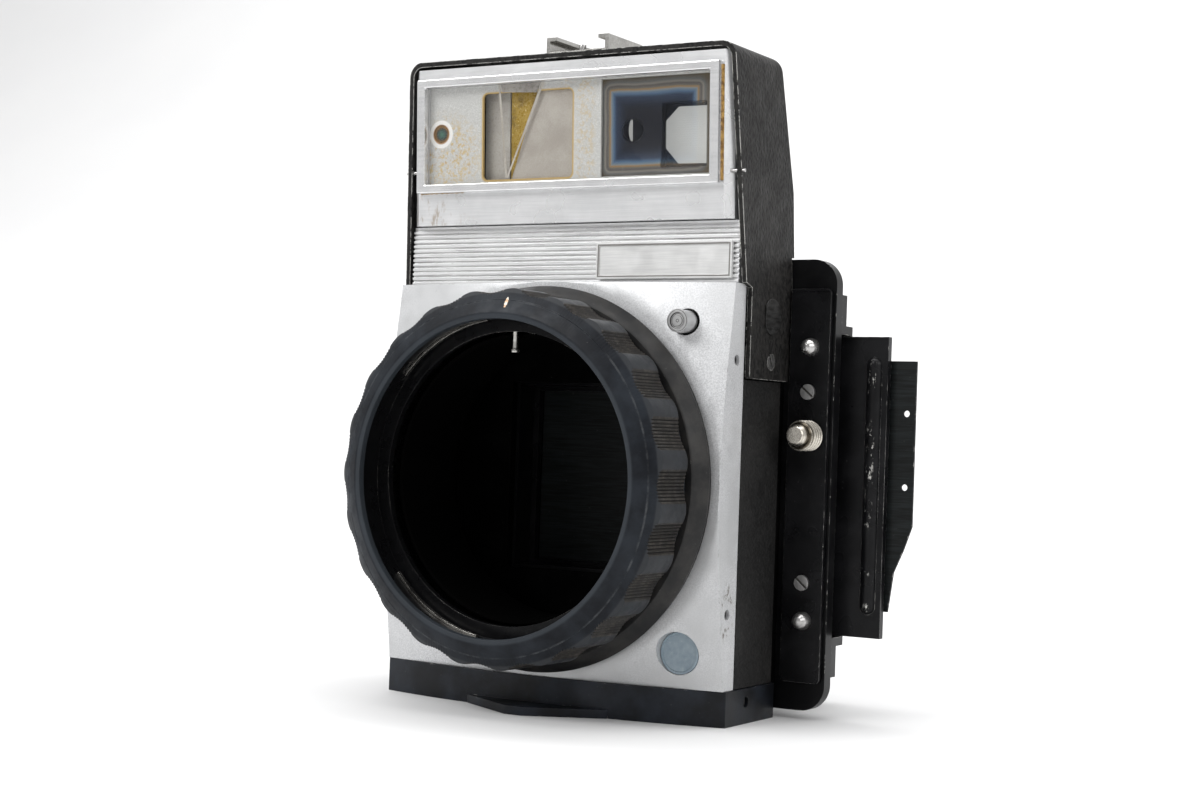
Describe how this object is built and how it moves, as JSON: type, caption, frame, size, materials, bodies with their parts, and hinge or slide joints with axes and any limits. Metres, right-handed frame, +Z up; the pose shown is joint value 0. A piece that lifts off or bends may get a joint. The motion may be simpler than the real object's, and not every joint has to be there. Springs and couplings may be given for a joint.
{
  "type": "press camera",
  "caption": "Upright rangefinder press camera body with a large focusing mount, finder hood, lock-bar back and a roll-film magazine with dark slide.",
  "frame": {"origin": "mouth of the tripod socket on the underside of the base", "axes": "+Z up, along the camera's height; -Y forward, out of the lens throat; +X to the right seen from the front"},
  "size_m": [0.1776, 0.1222, 0.2108],
  "materials": {
    "black_base": "satin black enamel, lightly stained",
    "brass": "turned",
    "steel": "turned, worn",
    "silver_casting": "satin silver, fine grain",
    "black_casting": "matt black",
    "leatherette": "fine grain leatherette",
    "black_screw": "blackened",
    "ribbed_aluminium": "polished ribs",
    "bright_plate": "satin",
    "badge_enamel": "blue-grey enamel",
    "satin_aluminium": "satin",
    "bright_frame": "polished, light wear",
    "clear_glass": "polished",
    "aged_white": "aged white with yellow stains",
    "frosted_pane": "frosted",
    "amber_pane": "amber, aged",
    "optical_glass": "coated",
    "black_enamel": "gloss-satin black, worn edges",
    "mirror": "silvered",
    "pebbled_black": "pebbled, chipped bright edges",
    "knurled_black": "textured",
    "chrome": "worn chrome",
    "black_anodised": "black anodised",
    "greased_alloy": "dark anodised thread, greased",
    "matt_black": "flocked matt black",
    "spring_steel": "spring wire",
    "worn_chrome": "worn bright edges",
    "blue_black_ring": "dark blue-black, brownish wear on the grip",
    "turned_steel": "turned rings",
    "black_plate": "satin black with bright worn edges",
    "nickel_stud": "nickel, machined",
    "black_steel": "blackened steel",
    "brushed_black": "brushed dark lacquer",
    "spool_plastic": "moulded",
    "dial_white": "printed dial"
  },
  "bodies": {
    "camera": {"base_plate": "black_base", "tripod_bushing": "brass", "case_screws": "steel", "front_casting": "silver_casting", "body_shell": "black_casting", "side_leather": "leatherette", "side_screws": "black_screw", "ribbed_fascia": "ribbed_aluminium", "name_plate": "bright_plate", "badge": "badge_enamel", "finder_face": "satin_aluminium", "window_frame": "bright_frame", "window_glass": "clear_glass", "finder_mask": "aged_white", "diffuser_pane": "frosted_pane", "amber_pane": "amber_pane", "viewfinder_lens": "optical_glass", "eyepiece_lens": "optical_glass", "eyepiece_ring": "black_enamel", "beam_splitter": "optical_glass", "finder_housing": "black_casting", "rear_cover": "black_enamel", "top_hood": "pebbled_black", "hood_fasteners": "steel", "hood_insets": "knurled_black", "accessory_shoe": "chrome", "mount_flange": "black_anodised", "helicoid_barrel": "greased_alloy", "light_baffle": "matt_black", "guide_key": "steel", "follower_guide": "brass", "follower_spring": "spring_steel", "button_bushing": "black_anodised", "button_spring": "spring_steel", "rear_frame": "black_enamel", "grip_plate": "black_plate", "grip_fasteners": "steel", "grip_stud": "nickel_stud", "lock_bar_screws": "steel"},
    "lens_sleeve": {"lens_sleeve": "black_anodised", "bayonet_springs": "worn_chrome"},
    "focusing_ring": {"focusing_ring": "blue_black_ring"},
    "release_button": {"release_button": "turned_steel"},
    "follower": {"follower_rod": "chrome"},
    "mirror": {"rangefinder_mirror": "mirror", "mirror_arm": "steel"},
    "lock_bar_top": {"lock_bar_top": "black_steel"},
    "lock_bar_bottom": {"lock_bar_bottom": "black_steel"},
    "magazine": {"magazine_plate": "black_plate", "magazine_frame": "black_casting", "film_guides": "chrome", "hinge_pin": "steel"},
    "dark_slide": {"dark_slide": "brushed_black"},
    "magazine_cover": {"magazine_cover": "pebbled_black", "pressure_plate": "satin_aluminium", "counter_window": "clear_glass"},
    "wind_lever": {"wind_lever": "chrome"},
    "takeup_spool": {"takeup_spool": "spool_plastic"},
    "supply_spool": {"supply_spool": "spool_plastic"},
    "counter_dial": {"counter_dial": "dial_white"}
  },
  "joints": [
    {"name": "sleeve_travel", "type": "slide", "parent": "camera", "child": "lens_sleeve", "axis": [0, -1, 0], "range_m": [0, 0.01]},
    {"name": "focus_turn", "type": "hinge", "parent": "lens_sleeve", "child": "focusing_ring", "pos_m": [0, -0.039, 0.0715], "axis": [0, -1, 0], "range_deg": [0, 200]},
    {"name": "button_press", "type": "slide", "parent": "camera", "child": "release_button", "axis": [0, 1, 0], "range_m": [0, 0.003], "stiffness_N_per_m": 300, "springref_m": -0.002, "deforming": ["button_spring"]},
    {"name": "follower_push", "type": "slide", "parent": "camera", "child": "follower", "axis": [0, 1, 0], "range_m": [0, 0.005], "stiffness_N_per_m": 120, "springref_m": -0.002, "deforming": ["follower_spring"]},
    {"name": "mirror_turn", "type": "hinge", "parent": "camera", "child": "mirror", "pos_m": [-0.0475, 0.001, 0.15], "axis": [0, 0, 1], "range_deg": [0, 7]},
    {"name": "lock_top_lift", "type": "slide", "parent": "camera", "child": "lock_bar_top", "axis": [0, 0, 1], "range_m": [0, 0.0034]},
    {"name": "lock_bottom_drop", "type": "slide", "parent": "camera", "child": "lock_bar_bottom", "axis": [0, 0, -1], "range_m": [0, 0.0034]},
    {"name": "magazine_slide", "type": "slide", "parent": "camera", "child": "magazine", "axis": [1, 0, 0], "range_m": [0, 0.12]},
    {"name": "dark_slide_pull", "type": "slide", "parent": "magazine", "child": "dark_slide", "axis": [1, 0, 0], "range_m": [0, 0.125]},
    {"name": "cover_swing", "type": "hinge", "parent": "magazine", "child": "magazine_cover", "pos_m": [-0.0687, 0.0384, 0.072], "axis": [0, 0, 1], "range_deg": [0, 100]},
    {"name": "wind_stroke", "type": "hinge", "parent": "magazine", "child": "wind_lever", "pos_m": [0.05, 0.0535, 0.115], "axis": [0, 0, -1], "range_deg": [0, 140], "stiffness_Nm_per_rad": 0.01, "springref_deg": -17.19},
    {"name": "takeup_turn", "type": "hinge", "parent": "magazine", "child": "takeup_spool", "pos_m": [0.05, 0.0535, 0.07], "axis": [0, 0, -1], "range_deg": [0, 140]},
    {"name": "supply_turn", "type": "hinge", "parent": "magazine", "child": "supply_spool", "pos_m": [-0.05, 0.0535, 0.07], "axis": [0, 0, -1], "range_deg": [0, 95]},
    {"name": "counter_turn", "type": "hinge", "parent": "magazine", "child": "counter_dial", "pos_m": [-0.026, 0.052, 0.112], "axis": [0, 0, 1], "range_deg": [0, 30]}
  ],
  "couplings": [
    {"joint": "sleeve_travel", "follows": "focus_turn", "m_per_rad": 0.002865},
    {"joint": "mirror_turn", "follows": "follower_push", "rad_per_m": 22},
    {"joint": "takeup_turn", "follows": "wind_stroke", "ratio": 1},
    {"joint": "supply_turn", "follows": "wind_stroke", "ratio": 0.65},
    {"joint": "counter_turn", "follows": "wind_stroke", "ratio": 0.2}
  ]
}
